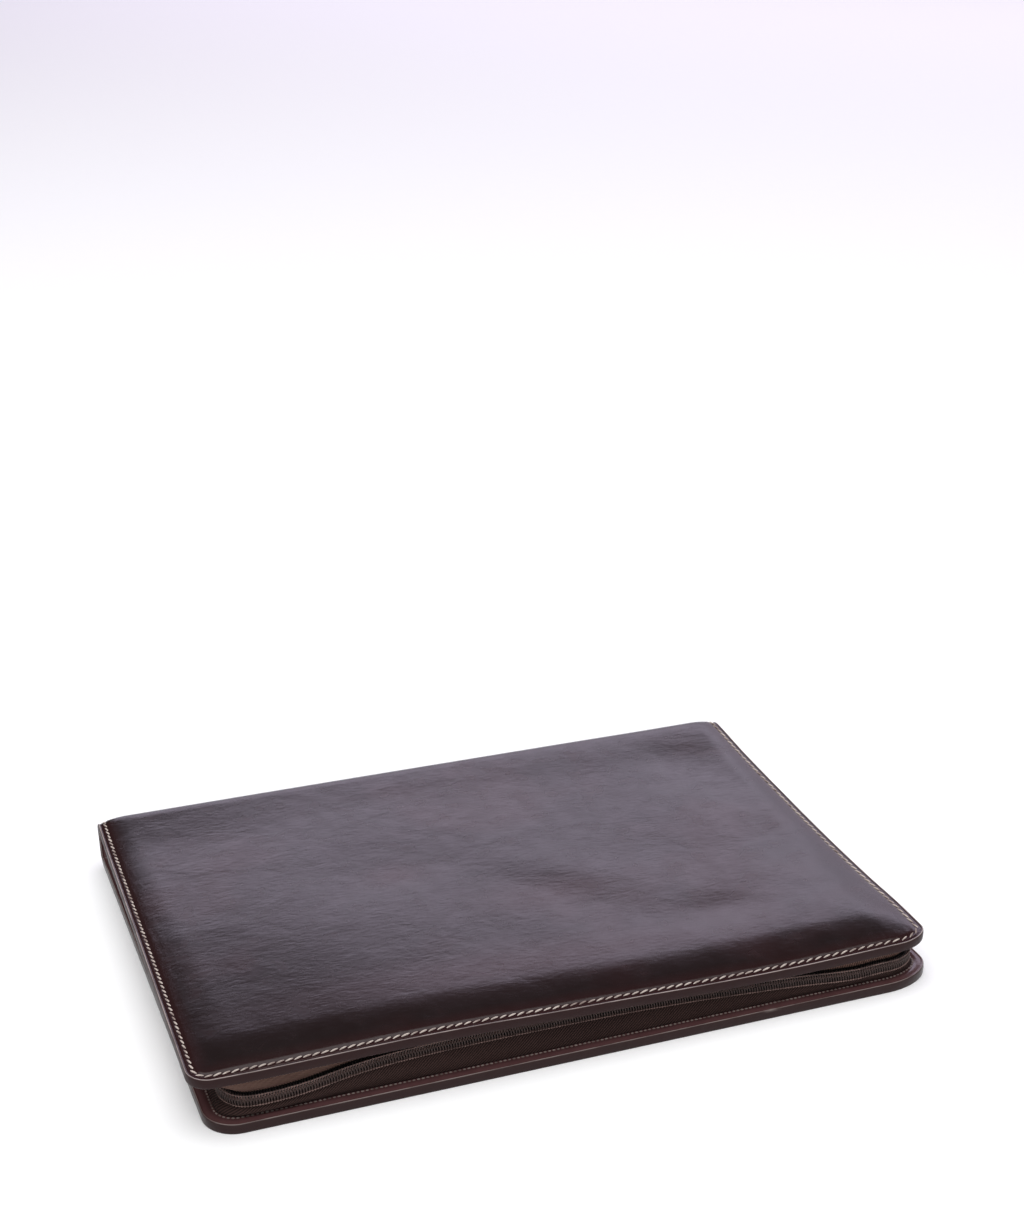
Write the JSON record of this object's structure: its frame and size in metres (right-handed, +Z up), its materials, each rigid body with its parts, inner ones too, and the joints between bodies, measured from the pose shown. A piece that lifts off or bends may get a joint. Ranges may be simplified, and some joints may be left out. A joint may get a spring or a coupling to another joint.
{
  "type": "leather document case",
  "caption": "Padded leather case for papers, closed and lying flat: stitched covers joined by a rounded spine, with a cloth gusset and a coil zip round the opening.",
  "frame": {"origin": "under the middle of the case, on the surface that it lies on", "axes": "+X along the spine to the right, +Y from the opening edge back to the spine, +Z up through the covers"},
  "size_m": [0.3558, 0.2444, 0.0333],
  "materials": {
    "leather": "smooth glazed leather, dark burgundy brown",
    "gusset_cloth": "matte brown twill",
    "zip_nylon": "satin nylon coil, near black",
    "slider_metal": "dark bronzed metal",
    "tab_leather": "dull grey-brown lining leather"
  },
  "bodies": {
    "root": {"leather_cover": "leather", "zip_tape_upper": "gusset_cloth", "zip_tape_lower": "gusset_cloth", "zip_coil_upper": "zip_nylon", "zip_coil_lower": "zip_nylon", "zip_slider": "slider_metal", "end_tab_left": "tab_leather", "end_tab_right": "tab_leather"}
  },
  "joints": []
}
